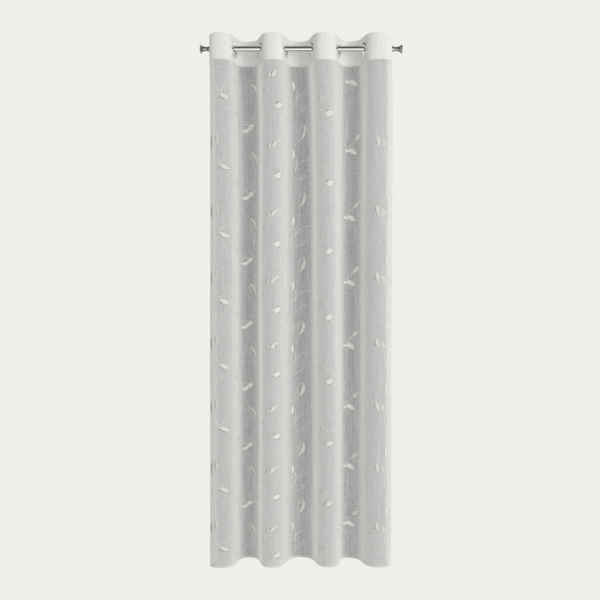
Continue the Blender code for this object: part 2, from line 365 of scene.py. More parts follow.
# Threads: how fine they are across and along the cloth, how far they stray, and their share.
# Their sum says where the cloth is loose or close.
THREAD_DETAIL = 4.0
LOOSE_TO_CLOSE = (1.2, 1.8)
VOILE_THREADS = (
    ("upright_threads", (210.0, 7.0, 1.0), 0.5, 1.05),
    ("level_threads", (30.0, 260.0, 1.0), 0.8, 0.65),
    ("slubs", (120.0, 70.0, 1.0), 2.0, 1.30),
)


def between(start, end, part):
    """The value that lies this part of the way from start to end."""
    return start + (end - start) * part


def smooth_step(value):
    """0 up to 0 and 1 from 1 on, with an easy rise between them."""
    value = np.clip(value, 0.0, 1.0)
    return value * value * (3.0 - 2.0 * value)


def settled(height):
    """0 in the heading, which the rod holds, and 1 at the hem, where the folds lie freely."""
    down = max(0.0, (PANEL_TOP - height) / (PANEL_TOP - HEM))
    return 1.0 - (1.0 - down) ** SETTLE_POWER


def softness(height):
    """0 in the heading, rising smoothly to 1 where the voile hangs softly."""
    down = min(1.0, max(0.0, (PANEL_TOP - height) / SOFT_BELOW_BAND))
    return 0.5 - 0.5 * math.cos(math.pi * down)


def turns_at_ends(height):
    """The cloth's angle to the rod at both edges and all eyelets, left to right.

    It is positive where the cloth runs to the back as it runs to the right.
    """
    part, soft = settled(height), softness(height)
    sizes = [between(LEFT_EDGE_TURN_IN_BAND, LEFT_EDGE_TURN_AT_HEM, part)]
    for number, row in enumerate(STRETCHES):
        under_band = row.turn_in_band + SOFT_TURN * soft**SOFT_TURN_POWER
        down = math.tau * (PANEL_TOP - height) / SWAY_LENGTH
        sway = SWAY_TURN * soft * math.sin(down + SWAY_SHIFT * number)
        sizes.append(between(under_band, row.turn_at_hem, part) + sway)
    signs = [-1 if eyelet % 2 == 0 else 1 for eyelet in range(EYELET_COUNT)]
    signs = [signs[0], *signs, signs[-1]]
    return [math.radians(size * sign) for size, sign in zip(sizes, signs)]


def fold_swing(row, flat, middles, height):
    """How far the cloth has swung from a fold's crest: -1 at its left end, 1 at its right."""
    fullness = between(row.fullness_in_band, row.fullness_at_hem, settled(height))
    to_flat = np.where(middles < row.crest, flat + row.crest, flat - row.crest)
    to_end = np.where(middles < row.crest, 1.0 + row.crest, 1.0 - row.crest)
    in_band = np.clip((middles - row.crest) / to_flat, -1.0, 1.0)
    hanging = np.sin((middles - row.crest) / to_end * math.pi / 2.0)
    swing = between(in_band, hanging, softness(height))
    return np.sign(swing) * np.abs(swing) ** fullness


def stretch_line(number, height, turn_before, turn_after):
    """(x, y) along one stretch from its left end, which is left out, in even steps."""
    row = STRETCHES[number]
    cloth = between(row.cloth_in_band, row.cloth_at_hem, settled(height))
    ends = np.linspace(-1.0, 1.0, STEPS_IN_STRETCH + 1)
    middles = (ends[1:] + ends[:-1]) / 2.0
    flat = max(1.0 - 2.0 * FLAT_AT_EYELET / cloth, LEAST_ROUND)
    in_a_fold = number not in SIDE_STRETCHES
    if in_a_fold:
        swing = fold_swing(row, flat, middles, height)
        angle = np.where(swing < 0.0, turn_before, turn_after) * np.abs(swing)
    else:
        angle = between(turn_before, turn_after, (middles + 1.0) / 2.0)
    steps = np.stack([np.cos(angle), np.sin(angle)], axis=1) * cloth / STEPS_IN_STRETCH
    line = np.cumsum(steps, axis=0)
    if in_a_fold:
        line[:, 1] -= line[-1, 1] * smooth_step((ends[1:] / flat + 1.0) / 2.0)
    return line


def fold_line(height):
    """(x, y) of the cloth at one height, in even steps of the cloth in each stretch."""
    turns = turns_at_ends(height)
    points = [np.zeros((1, 2))]
    for number in range(len(STRETCHES)):
        line = stretch_line(number, height, turns[number], turns[number + 1])
        points.append(points[-1][-1] + line)
    points = np.concatenate(points)
    return points - points[STEPS_IN_STRETCH] + (FIRST_EYELET_X, 0.0)


def along_cloth(height, across):
    """Places (x, y) and front normals of the cloth, this far across it from its left edge."""
    line = fold_line(height)
    part = settled(height)
    cloth = [between(row.cloth_in_band, row.cloth_at_hem, part) for row in STRETCHES]
    ends = np.concatenate([[0.0], np.cumsum(cloth)])
    ends *= CLOTH_WIDTH / ends[-1]
    steps = np.linspace(0.0, len(STRETCHES), len(line))
    run = np.interp(steps, np.arange(len(ends)), ends)
    x = np.interp(across, run, line[:, 0])
    y = np.interp(across, run, line[:, 1])
    turn = np.unwrap(np.arctan2(np.gradient(line[:, 1]), np.gradient(line[:, 0])))
    turn = np.interp(across, run, turn)
    return np.stack([x, y], axis=1), np.stack([np.sin(turn), -np.cos(turn)], axis=1)


def crease_depths(across, height):
    """How far the creases push the cloth forward at one height."""
    depth = np.zeros_like(across)
    for crease in CREASES:
        fade_in = smooth_step((crease.top - height) / CREASE_FADE)
        fade_out = smooth_step((height - crease.bottom) / CREASE_FADE + CREASE_LEFT_AT_BOTTOM)
        part = (crease.top - height) / (crease.top - crease.bottom)
        middle = crease.across + crease.lean * (part - 0.5)
        wander = CREASE_WANDER * math.sin(WANDER_TURN * part + WANDER_SHIFT * crease.across)
        shape = np.exp(-(((across - middle - wander) / crease.half_width) ** 2))
        depth += crease.depth * fade_in * fade_out * shape
    return depth


def droop(across, height):
    """How far the heading's cloth has dropped at this place."""
    down = np.zeros(np.broadcast(across, height).shape)
    for middle, width, depth in DROOPS:
        down += depth * np.exp(-(((across - middle) / width) ** 2))
    return down * smooth_step((height - TOP) / DROOP_REACH + 1.0)


chart_across = np.linspace(0.0, CLOTH_WIDTH, CLOTH_COLUMNS + 1)
band_heights = np.linspace(TOP, BAND_BOTTOM, BAND_ROWS + 1)
panel_heights = np.linspace(PANEL_TOP, HEM, PANEL_ROWS + 1)
chart_heights = np.concatenate([band_heights, panel_heights])
chart_places = np.empty((len(chart_heights), len(chart_across), 2))
chart_fronts = np.empty_like(chart_places)
for row, height in enumerate(chart_heights):
    places, fronts = along_cloth(height, chart_across)
    chart_places[row] = places + fronts * crease_depths(chart_across, height)[:, None]
    chart_fronts[row] = fronts


def on_cloth(across, height, forward=0.0):
    """Points this far across the cloth, at this height and this far in front of its middle."""
    across, height, forward = np.broadcast_arrays(across, height, forward)
    column = np.clip(across / CLOTH_WIDTH * CLOTH_COLUMNS, 0.0, CLOTH_COLUMNS)
    row = np.interp(-height, -chart_heights, np.arange(len(chart_heights)))
    left = np.minimum(column.astype(int), CLOTH_COLUMNS - 1)
    upper = np.minimum(row.astype(int), len(chart_heights) - 2)
    over, down = (column - left)[..., None], (row - upper)[..., None]
    charts = []
    for chart in (chart_places, chart_fronts):
        above = between(chart[upper, left], chart[upper, left + 1], over)
        below = between(chart[upper + 1, left], chart[upper + 1, left + 1], over)
        charts.append(between(above, below, down))
    flat = charts[0] + charts[1] * forward[..., None]
    lowered = height - droop(across, height)
    return np.concatenate([flat, lowered[..., None]], axis=-1)


def grid_faces(rows, columns):
    """Quads of a grid whose corners run along each row, top row first, facing the room."""
    faces = []
    for row in range(rows - 1):
        for column in range(columns - 1):
            corner = row * columns + column
            faces.append((corner, corner + columns, corner + columns + 1, corner + 1))
    return faces


def cloth_piece(name, across, heights, forward, faces, material):
    """A smooth piece on the cloth, with a UV map of metres across the cloth and the height."""
    across, heights, forward = np.broadcast_arrays(across, heights, forward)
    mesh = bpy.data.meshes.new(name)
    mesh.from_pydata(on_cloth(across, heights, forward).reshape(-1, 3), [], faces)
    chart = mesh.uv_layers.new(name="cloth")
    order = np.empty(len(mesh.loops), dtype=np.int32)
    mesh.loops.foreach_get("vertex_index", order)
    places = np.stack([across.ravel(), heights.ravel()], axis=1)
    chart.data.foreach_set("uv", places[order].astype(np.float32).ravel())
    mesh.shade_smooth()
    mesh.materials.append(material)
    piece = bpy.data.objects.new(name, mesh)
    scene.collection.objects.link(piece)
    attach(piece, "root")
    return piece


def cloth_sheet(name, across, heights, forward, material):
    """A piece whose points lie in a grid, from its left edge and its top."""
    faces = grid_faces(len(heights), len(across))
    return cloth_piece(name, across[None, :], heights[:, None], forward, faces, material)


def new_material(name):
    """A material and its node tree, which starts with a plain shader and an output."""
    material = bpy.data.materials.new(name)
    material.use_nodes = True
    return material, material.node_tree


def thread_noise(tree, name, scale, detail, stray=0.0):
    """Uneven threads: noise drawn out along one direction of the cloth."""
    chart = tree.nodes.new("ShaderNodeUVMap")
    chart.uv_map = "cloth"
    stretch = tree.nodes.new("ShaderNodeMapping")
    stretch.inputs["Scale"].default_value = scale
    tree.links.new(chart.outputs["UV"], stretch.inputs["Vector"])
    noise = tree.nodes.new("ShaderNodeTexNoise")
    noise.name = name
    set_sockets(noise, {"Scale": 1.0, "Detail": detail, "Distortion": stray})
    tree.links.new(stretch.outputs["Vector"], noise.inputs["Vector"])
    return noise.outputs["Fac"]


def calculate(tree, operation, *values):
    """What a Math node makes of its values: each is a number or an output."""
    node = tree.nodes.new("ShaderNodeMath")
    node.operation = operation
    for socket, value in zip(node.inputs, values):
        feed(tree, socket, value)
    return node.outputs["Value"]


def raise_relief(tree, shader, height, strength, distance):
    """Relief too fine to model, on the shader's own normal."""
    bump = tree.nodes.new("ShaderNodeBump")
    set_sockets(bump, {"Strength": strength, "Distance": distance})
    tree.links.new(height, bump.inputs["Height"])
    tree.links.new(bump.outputs["Normal"], shader.inputs["Normal"])


def let_light_through(tree, cloth, colour, share):
    """The cloth's shader, with this share of its light passing through the threads."""
    through = tree.nodes.new("ShaderNodeBsdfTranslucent")
    through.inputs["Color"].default_value = (*colour, 1.0)
    return mix_shaders(tree, share, cloth.outputs["BSDF"], through.outputs["BSDF"])


def voile_material(name, density):
    """Thin threads with air between them: part cloth, part see-through, and closer edge on.

    The cloth is made more open in the back folds and less open in the front folds, so the back
    folds show more of the dim colour behind them: painted shade in the back folds and painted light
    on the front ones.
    """
    material, tree = new_material(name)
    cloth = tree.nodes["Principled BSDF"]
    set_sockets(cloth, {"Base Color": (*VOILE_COLOUR, 1.0), "Roughness": 0.75})
    set_sockets(cloth, {"Specular IOR Level": 0.2, "Sheen Weight": 1.0, "Sheen Roughness": 0.35})
    uneven = 0.0
    for thread, scale, stray, share in VOILE_THREADS:
        threads = thread_noise(tree, thread, scale, THREAD_DETAIL, stray)
        uneven = calculate(tree, "MULTIPLY_ADD", threads, share, uneven)
    raise_relief(tree, cloth, uneven, strength=0.15, distance=0.001)
    lit = let_light_through(tree, cloth, VOILE_COLOUR, VOILE_THROUGH)

    open_share = 1.0 - density
    least, most = max(open_share - VOILE_UNEVENNESS, 0.0), open_share + VOILE_UNEVENNESS
    gaps = map_range(tree, uneven, LOOSE_TO_CLOSE, most, least)
    # Painted shade: the gaps widen from the front folds to the back folds, so the back folds look
    # darker.
    place = tree.nodes.new("ShaderNodeTexCoord")
    depth = tree.nodes.new("ShaderNodeSeparateXYZ")
    tree.links.new(place.outputs["Object"], depth.inputs[0])
    painted_fold_gaps = (LIT_FRONT_FOLD_GAPS, SHADED_BACK_FOLD_GAPS)
    painted_shade_gaps = map_range(tree, depth.outputs["Y"], FRONT_TO_SHADED_BACK_FOLDS, *painted_fold_gaps, smooth=True)
    slant = tree.nodes.new("ShaderNodeLayerWeight")
    slant.inputs["Blend"].default_value = 0.5
    squareness = map_range(tree, slant.outputs["Facing"], (0.0, 1.0), 1.0, EDGE_ON)
    layers = calculate(tree, "DIVIDE", 1.0, squareness)
    open_part = calculate(tree, "POWER", calculate(tree, "MULTIPLY", gaps, painted_shade_gaps), layers)
    clear = tree.nodes.new("ShaderNodeBsdfTransparent")
    sheer = mix_shaders(tree, open_part, lit, clear.outputs["BSDF"])
    tree.links.new(sheer, tree.nodes["Material Output"].inputs["Surface"])
    return material


voile = voile_material("sheer_voile", VOILE_DENSITY)
seam_rows = [PANEL_TOP + SEAM_ALLOWANCE, PANEL_TOP + SEAM_ALLOWANCE / 2.0]
rows = np.concatenate([seam_rows, panel_heights])
behind = np.where(rows > PANEL_TOP, -SEAM_BEHIND, 0.0)
panel = cloth_sheet("voile_cloth", chart_across, rows, behind[:, None], voile)
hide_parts("voile_panel")

# ------------------------------------------------------------
# Hems: the voile's sides and bottom are turned to the back twice and stitched, so they
# are denser. They are part of the same cloth.
# ------------------------------------------------------------
SIDE_HEM = 0.012
BOTTOM_HEM = 0.010
HEM_ROLL = 0.0004
HEM_DENSITY = 0.93
HEM_TURN_STEPS = 4

hem_voile = voile_material("turned_voile", HEM_DENSITY)


def turned_edge(width):
    """(inset, forward) across a hem: round the folded edge, then flat behind the cloth."""
    turns = np.linspace(math.pi / 2.0, -math.pi / 2.0, HEM_TURN_STEPS + 1)
    inset = HEM_ROLL * (1.0 - np.cos(turns))
    forward = HEM_ROLL * (np.sin(turns) - 1.0)
    return np.append(inset, [width / 2.0, width]), np.append(forward, [forward[-1]] * 2)


inset, behind = turned_edge(SIDE_HEM)
for name, across in (("left_hem", inset), ("right_hem", (CLOTH_WIDTH - inset)[::-1])):
    lie = behind if name == "left_hem" else behind[::-1]
    hem = cloth_sheet(name, across, panel_heights, lie[None, :], hem_voile)

inset, behind = turned_edge(BOTTOM_HEM)
upwards, lie = HEM + inset, behind[::-1]
bottom_hem = cloth_sheet("bottom_hem", chart_across, upwards[::-1], lie[:, None], hem_voile)

# ------------------------------------------------------------
# Leaf motifs: small satin-white leaves and thin curling stems, woven into the voile in a
# repeat 31 cm deep, which runs over the whole width. The cloth's own weight stretches the
# repeats a little more towards the top.
# ------------------------------------------------------------
REPEAT_DEPTH = 0.3125
REPEAT_TOP = -0.700
REPEATS_UP = 2
REPEATS_DOWN = 6
WEIGHT_STRETCH = 0.047
EVEN_DOWN = 0.30
MOTIF_MARGIN = 0.014
PLAIN_UNDER_HEADING = 0.045
LEAF_HEIGHT = 0.0006
LEAF_STEPS = 9
STEM_STEPS = 10
STEM_WIDTH = 0.0027
STEM_TIP_SHARE = 0.5
LINE_HEIGHT_SHARE = 0.7
BLUNT_ENDS = (0.03, 0.97)
WIDE_TOWARDS_BASE = 0.85
LEAF_FULLNESS = 0.8
PAST_THE_MIDDLE = 0.3
SATIN_GLOSS = 0.06
SATIN_THREADS = (900.0, 160.0, 1.0)
LEAF_THROUGH = 0.18
# Yarn colours, dim to bright: a brighter satin for the leaves mostly in the back folds and a dimmer
# one for those in the front folds, as painted light and painted shade.
BRIGHTENED_SATIN = ((0.70, 0.70, 0.66), (0.99, 0.98, 0.93))
DIMMED_SATIN = ((0.60, 0.60, 0.565), (0.89, 0.88, 0.83))

# One repeat, charted. across and down: where the leaf or stem starts, from the cloth's left edge
# and the repeat's top. points: the way it grows, in degrees, 0 to the right and 90 up. bend: how
# far it turns to the left on its way. The leaves given the dimmer yarn colour lie mostly in the
# front folds and the bright leaves mostly in the back folds: painted shade and painted light. A
# half leaf is filled on one side of its middle and has only an edge on the other, and an outline
# has only edges.
Motif = namedtuple("Motif", "kind across down length width points bend")
MOTIFS = (
    Motif("dimmed_leaf", 0.107, 0.053, 0.055, 0.020, -95, 8),
    Motif("dimmed_leaf", 0.130, 0.037, 0.057, 0.014, -85, -6),
    Motif("dimmed_leaf", 0.143, 0.177, 0.055, 0.031, -28, 6),
    Motif("dimmed_leaf", 0.147, 0.180, 0.023, 0.010, 178, 10),
    Motif("stem", 0.147, 0.173, 0.056, STEM_WIDTH, 52, -28),
    Motif("stem", 0.144, 0.174, 0.042, STEM_WIDTH, 108, 22),
    Motif("stem", 0.150, 0.268, 0.048, STEM_WIDTH, 70, -40),
    Motif("dimmed_leaf", 0.228, 0.116, 0.033, 0.015, 20, 0),
    Motif("dimmed_leaf", 0.234, 0.258, 0.053, 0.022, 5, 0),
    Motif("half_leaf", 0.362, 0.105, 0.062, 0.031, -57, -10),
    Motif("stem", 0.372, 0.161, 0.108, STEM_WIDTH, -68, -42),
    Motif("stem", 0.358, 0.258, 0.045, STEM_WIDTH, -62, 30),
    Motif("leaf", 0.374, 0.289, 0.037, 0.029, 222, -6),
    Motif("half_leaf", 0.357, 0.298, 0.050, 0.040, 210, -12),
    Motif("dimmed_leaf", 0.494, 0.153, 0.022, 0.014, -30, 0),
    Motif("dimmed_leaf", 0.535, 0.082, 0.029, 0.017, -100, 0),
    Motif("dimmed_leaf", 0.545, 0.102, 0.033, 0.025, 50, -6),
    Motif("dimmed_leaf", 0.563, 0.081, 0.025, 0.014, 32, -10),
    Motif("dimmed_leaf", 0.551, 0.231, 0.020, 0.013, -2, 8),
    Motif("dimmed_leaf", 0.561, 0.235, 0.040, 0.038, 20, -8),
    Motif("dimmed_leaf", 0.638, 0.284, 0.040, 0.018, 20, 0),
    Motif("leaf", 0.716, 0.094, 0.044, 0.015, -84, -4),
    Motif("stem", 0.724, 0.199, 0.132, STEM_WIDTH, 80, -102),
    Motif("stem", 0.733, 0.137, 0.055, STEM_WIDTH, -90, -8),
    Motif("half_leaf", 0.771, -0.024, 0.074, 0.034, -99, -12),
    Motif("outline", 0.779, 0.208, 0.026, 0.012, 220, 0),
    Motif("stem", 0.767, 0.224, 0.042, STEM_WIDTH, 200, 12),
    Motif("dimmed_leaf", 0.923, 0.184, 0.029, 0.018, -102, 0),
    Motif("dimmed_leaf", 0.932, 0.197, 0.013, 0.009, 2, 0),
    Motif("stem", 0.943, 0.198, 0.026, STEM_WIDTH, -8, 0),
    Motif("dimmed_leaf", 0.935, 0.266, 0.020, 0.011, 10, 0),
    Motif("dimmed_leaf", 0.944, 0.273, 0.041, 0.038, 26, -8),
    Motif("dimmed_leaf", 1.011, 0.095, 0.026, 0.014, -20, 0),
    Motif("leaf", 1.061, 0.301, 0.033, 0.015, 15, 0),
    Motif("leaf", 1.138, 0.089, 0.047, 0.029, -34, -4),
    Motif("leaf", 1.140, 0.102, 0.029, 0.014, 162, 8),
    Motif("leaf", 1.165, 0.052, 0.047, 0.025, 44, -6),
    Motif("stem", 1.136, 0.087, 0.050, STEM_WIDTH, 64, -30),
    Motif("stem", 1.172, 0.130, 0.080, STEM_WIDTH, -70, -35),
    Motif("dimmed_leaf", 1.329, 0.051, 0.050, 0.022, -80, 4),
    Motif("half_leaf", 1.359, 0.068, 0.038, 0.012, -76, 0),
    Motif("stem", 1.366, 0.112, 0.066, STEM_WIDTH, -78, -22),
    Motif("dimmed_leaf", 1.377, -0.029, 0.055, 0.014, -90, 0),
    Motif("dimmed_leaf", 1.403, 0.098, 0.040, 0.011, -4, 0),
)


def hung(down):
    """The height of a place this far down the chart, whose cloth is stretched by its weight."""
    return REPEAT_TOP - down + WEIGHT_STRETCH * (down - EVEN_DOWN) ** 2


def centre_line(motif, steps):
    """The motif's middle, from its base: points (right, up) and the way it runs there."""
    part = np.linspace(0.0, 1.0, steps + 1)
    way = np.radians(motif.points + motif.bend * part)
    step = motif.length / steps
    middles = (way[1:] + way[:-1]) / 2.0
    run = np.stack([np.cos(middles), np.sin(middles)], axis=1) * step
    return np.concatenate([[[0.0, 0.0]], np.cumsum(run, axis=0)]), way, part


def ribbon(centre, way, left, right, height):
    """A closed ribbon: rings of (right, up, forward) between its left and right edges."""
    sideways = np.stack([-np.sin(way), np.cos(way)], axis=1)
    rings = []
    for side, rise in ((1.0, 0.0), (0.5, 0.8), (0.0, 1.0), (-0.5, 0.8), (-1.0, 0.0)):
        offset = between(right, left, (side + 1.0) / 2.0)
        rings.append(np.column_stack([centre + sideways * offset[:, None], height * rise]))
    under = [ring * (1.0, 1.0, -1.0) for ring in rings[3:0:-1]]
    return np.stack(rings + under, axis=1)


def motif_ribbons(motif):
    """The ribbons that make one motif: a whole leaf, a line, or a half leaf and its edge."""
    steps = STEM_STEPS if motif.kind == "stem" else LEAF_STEPS
    centre, way, part = centre_line(motif, steps)
    swell = np.sin(math.pi * np.clip(part, *BLUNT_ENDS) ** WIDE_TOWARDS_BASE)
    belly = swell**LEAF_FULLNESS * motif.width / 2.0
    line = np.full_like(part, STEM_WIDTH / 2.0) * between(1.0, STEM_TIP_SHARE, part)
    height = np.full_like(part, LEAF_HEIGHT)
    low = height * LINE_HEIGHT_SHARE
    if motif.kind in ("leaf", "dimmed_leaf"):
        return [ribbon(centre, way, belly, -belly, height * belly / belly.max())]
    if motif.kind == "stem":
        return [ribbon(centre, way, line, -line, low)]
    edges = [ribbon(centre, way, -belly + line, -belly - line, low)]
    if motif.kind == "half_leaf":
        edges.append(ribbon(centre, way, belly, -line * PAST_THE_MIDDLE, height))
    else:
        edges.append(ribbon(centre, way, belly + line, belly - line, low))
    return edges


def ribbon_faces(rings, points, first):
    """Quads round a closed ribbon, with a face at each end."""
    faces = []
    for ring in range(rings - 1):
        for point in range(points):
            here = first + ring * points + point
            beside = first + ring * points + (point + 1) % points
            faces.append((here, beside, beside + points, here + points))
    faces.append(tuple(first + point for point in reversed(range(points))))
    faces.append(tuple(first + (rings - 1) * points + point for point in range(points)))
    return faces


def mix_colours(tree, share, first, second):
    """Two colours in one, with this share of the second."""
    mix = tree.nodes.new("ShaderNodeMix")
    mix.data_type = "RGBA"
    tree.links.new(share, mix.inputs["Factor"])
    set_sockets(mix, {"A": (*first, 1.0), "B": (*second, 1.0)})
    return mix.outputs["Result"]


def leaf_material(name, dim, bright):
    """Dense satin floats of bright yarn, closer and glossier than the voile."""
    material, tree = new_material(name)
    satin = tree.nodes["Principled BSDF"]
    set_sockets(satin, {"Roughness": 0.32, "Metallic": SATIN_GLOSS})
    threads = thread_noise(tree, "satin_threads", SATIN_THREADS, detail=3.0)
    tree.links.new(mix_colours(tree, threads, dim, bright), satin.inputs["Base Color"])
    raise_relief(tree, satin, threads, strength=0.3, distance=0.0004)
    lit = let_light_through(tree, satin, bright, LEAF_THROUGH)
    tree.links.new(lit, tree.nodes["Material Output"].inputs["Surface"])
    return material


leaf_points, leaf_faces, dimmed_faces = [], [], []
point_count = 0
shapes = [(motif, motif_ribbons(motif)) for motif in MOTIFS]
for repeat in range(-REPEATS_UP, REPEATS_DOWN):
    for motif, ribbons in shapes:
        start = np.array([motif.across, -motif.down - repeat * REPEAT_DEPTH, 0.0])
        placed = [rings + start for rings in ribbons]
        for rings in placed:
            rings[..., 1] = hung(-rings[..., 1])
        reach = np.concatenate([rings.reshape(-1, 3) for rings in placed])
        lowest, highest = reach[:, 1].min(), reach[:, 1].max()
        if lowest < HEM + MOTIF_MARGIN or highest > PANEL_TOP - PLAIN_UNDER_HEADING:
            continue
        for rings in placed:
            faces = ribbon_faces(*rings.shape[:2], point_count)
            leaf_faces += faces
            dimmed_faces += [motif.kind == "dimmed_leaf"] * len(faces)
            leaf_points.append(rings.reshape(-1, 3))
            point_count += rings.shape[0] * rings.shape[1]
leaf_points = np.concatenate(leaf_points)
# Painted light and shade: the brighter satin goes on the back-fold leaves, the dimmer satin on the
# front-fold leaves.
brightened_satin = leaf_material("satin_leaf", *BRIGHTENED_SATIN)
leaves = cloth_piece("leaf_motifs", *leaf_points.T, leaf_faces, brightened_satin)
leaves.data.materials.append(leaf_material("dimmed_satin_leaf", *DIMMED_SATIN))
leaves.data.polygons.foreach_set("material_index", np.array(dimmed_faces, dtype=np.int32))

# ------------------------------------------------------------
# Heading: an opaque white band of doubled cloth, 12.5 cm deep, sewn along the top of the
# voile and punched for the eyelets.
# ------------------------------------------------------------
BAND_THICKNESS = 0.002
PUNCHED_RADIUS = 0.0218
PUNCH_LENGTH = 0.012
PUNCH_SIDES = 48
HEADING_COLOUR = (0.95, 0.945, 0.93)
HEADING_SHADE = (0.86, 0.855, 0.845)
HEADING_THROUGH = 0.55
HEADING_STREAKS = (75.0, 7.0, 1.0)
HEADING_THREADS = ((700.0, 60.0, 1.0), (60.0, 700.0, 1.0))

eyelet_turns = turns_at_ends(TOP)[1:-1]
eyelet_places = []
for number in range(EYELET_COUNT):
    low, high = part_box(f"eyelet_{number + 1}")
    eyelet_places.append((Vector(low) + Vector(high)) / 2.0)


def heading_material():
    """Close white cloth with faint upright streaks, which lets some light through."""
    material, tree = new_material("heading_cloth")
    cloth = tree.nodes["Principled BSDF"]
    set_sockets(cloth, {"Roughness": 0.8, "Specular IOR Level": 0.25, "Sheen Weight": 0.3})
    streaks = thread_noise(tree, "heading_streaks", HEADING_STREAKS, detail=3.0, stray=0.4)
    share = map_range(tree, streaks, (0.32, 0.68), 0.0, 1.0)
    white = mix_colours(tree, share, HEADING_SHADE, HEADING_COLOUR)
    tree.links.new(white, cloth.inputs["Base Color"])
    weave = [
        thread_noise(tree, f"heading_threads_{number}", scale, detail=3.0)
        for number, scale in enumerate(HEADING_THREADS)
    ]
    woven = calculate(tree, "ADD", *weave)
    raise_relief(tree, cloth, woven, strength=0.25, distance=0.0006)
    lit = let_light_through(tree, cloth, HEADING_COLOUR, HEADING_THROUGH)
    tree.links.new(lit, tree.nodes["Material Output"].inputs["Surface"])
    return material


def apply_modifiers(piece):
    """Makes the piece's mesh what its modifiers show."""
    evaluated = piece.evaluated_get(bpy.context.evaluated_depsgraph_get())
    made = bpy.data.meshes.new_from_object(evaluated)
    piece.modifiers.clear()
    piece.data = made


band = cloth_sheet("heading_cloth", chart_across, band_heights, 0.0, heading_material())
solid = band.modifiers.new("thickness", "SOLIDIFY")
solid.thickness = BAND_THICKNESS
solid.offset = 0.0
punch_mesh = bmesh.new()
for place, turn in zip(eyelet_places, eyelet_turns):
    turned_out = Matrix.Rotation(turn, 4, "Z") @ Matrix.Rotation(math.pi / 2.0, 4, "X")
    bmesh.ops.create_cone(
        punch_mesh,
        cap_ends=True,
        segments=PUNCH_SIDES,
        radius1=PUNCHED_RADIUS,
        radius2=PUNCHED_RADIUS,
        depth=PUNCH_LENGTH,
        matrix=Matrix.Translation(place) @ turned_out,
    )
punch_data = bpy.data.meshes.new("punches")
punch_mesh.to_mesh(punch_data)
punch_mesh.free()
punch = bpy.data.objects.new("punches", punch_data)
scene.collection.objects.link(punch)
holes = band.modifiers.new("holes", "BOOLEAN")
holes.operation = "DIFFERENCE"
holes.solver = "EXACT"
holes.object = punch
apply_modifiers(band)
bpy.data.objects.remove(punch, do_unlink=True)
band.data.shade_smooth()
band.data.set_sharp_from_angle(angle=math.radians(50.0))
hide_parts("heading_band")

# ------------------------------------------------------------
# Stitching: white thread, in short straight stitches along the hems, under the heading's
# folded top edge and along its seam.
# ------------------------------------------------------------
STITCH_LENGTH = 0.0030
STITCH_PITCH = 0.0044
STITCH_WIDTH = 0.0006
STITCH_HEIGHT = 0.0005
ROW_INSET = 0.006
UPRIGHT_TOP_INSET = 0.004
SEAM_INSET = 0.004
TOP_SEAM_INSET = 0.006
HEM_SEAM_INSET = 0.0015
THREAD_COLOUR = (0.88, 0.88, 0.87)
THREAD_TWIST = (1400.0, 1400.0, 1.0)


def stitch_rings(lengths, sideways, forwards):
    """Rings (stitch, ring, corner) of along, sideways and forward for a row of stitches."""
    rings = []
    for end, size in ((-0.5, 0.35), (0.0, 1.0), (0.5, 0.35)):
        corners = []
        for side, rise in ((0.5, 0.0), (0.0, 1.0), (-0.5, 0.0), (0.0, -0.4)):
            along = lengths + end * STITCH_LENGTH
            aside = sideways + side * STITCH_WIDTH * size
            out = np.full_like(lengths, forwards + rise * STITCH_HEIGHT * size)
            corners.append(np.stack([along, np.broadcast_to(aside, along.shape), out], axis=-1))
        rings.append(np.stack(corners, axis=1))
    return np.stack(rings, axis=1)


def stitch_rows():
    """Every row of stitches: its rings as (across, height, forward)."""
    over_band = BAND_THICKNESS / 2.0
    level_rows = (
        (TOP - TOP_SEAM_INSET, over_band),
        (BAND_BOTTOM + SEAM_INSET, over_band),
        (HEM + BOTTOM_HEM - HEM_SEAM_INSET, 0.0),
    )
    made = []
    along = np.arange(ROW_INSET, CLOTH_WIDTH - ROW_INSET, STITCH_PITCH)
    for height, forward in level_rows:
        made.append(stitch_rings(along, height, forward))
    upright = np.arange(HEM + ROW_INSET, PANEL_TOP - UPRIGHT_TOP_INSET, STITCH_PITCH)
    for across in (SIDE_HEM - HEM_SEAM_INSET, CLOTH_WIDTH - SIDE_HEM + HEM_SEAM_INSET):
        made.append(stitch_rings(upright, across, 0.0)[..., (1, 0, 2)])
    return np.concatenate(made)


def thread_material():
    """White sewing thread with a fine twist."""
    material, tree = new_material("sewing_thread")
    thread = tree.nodes["Principled BSDF"]
    set_sockets(thread, {"Base Color": (*THREAD_COLOUR, 1.0), "Roughness": 0.55})
    twist = thread_noise(tree, "thread_twist", THREAD_TWIST, detail=2.0)
    raise_relief(tree, thread, twist, strength=0.4, distance=0.0002)
    return material


stitch_points = stitch_rows()
rings, corners = stitch_points.shape[1:3]
stitch_faces = []
for number in range(len(stitch_points)):
    stitch_faces += ribbon_faces(rings, corners, number * rings * corners)
stitch_points = stitch_points.reshape(-1, 3)
stitches = cloth_piece("stitching", *stitch_points.T, stitch_faces, thread_material())

# ------------------------------------------------------------
# Eyelets: two-part polished rings, 70 mm across with a 38 mm hole, clamped through the
# heading. Each is a channel whose flanges grip the cloth from both sides.
# ------------------------------------------------------------
EYELET_HOLE_RADIUS = 0.019
EYELET_CORE_RADIUS = 0.0213
EYELET_RIM_RADIUS = 0.035
EYELET_HALF_DEPTH = 0.004
GRIP_GAP = 0.0003
EYELET_GRIP = BAND_THICKNESS / 2.0 + GRIP_GAP
EYELET_STEPS = 72
EYELET_LIP = 0.0022
EYELET_RIM_WIDTH = 0.0018
EYELET_RIM_HEIGHT = 0.0030
EYELET_COLOUR = (0.92, 0.92, 0.90)
POLISH_SCALE = 70.0


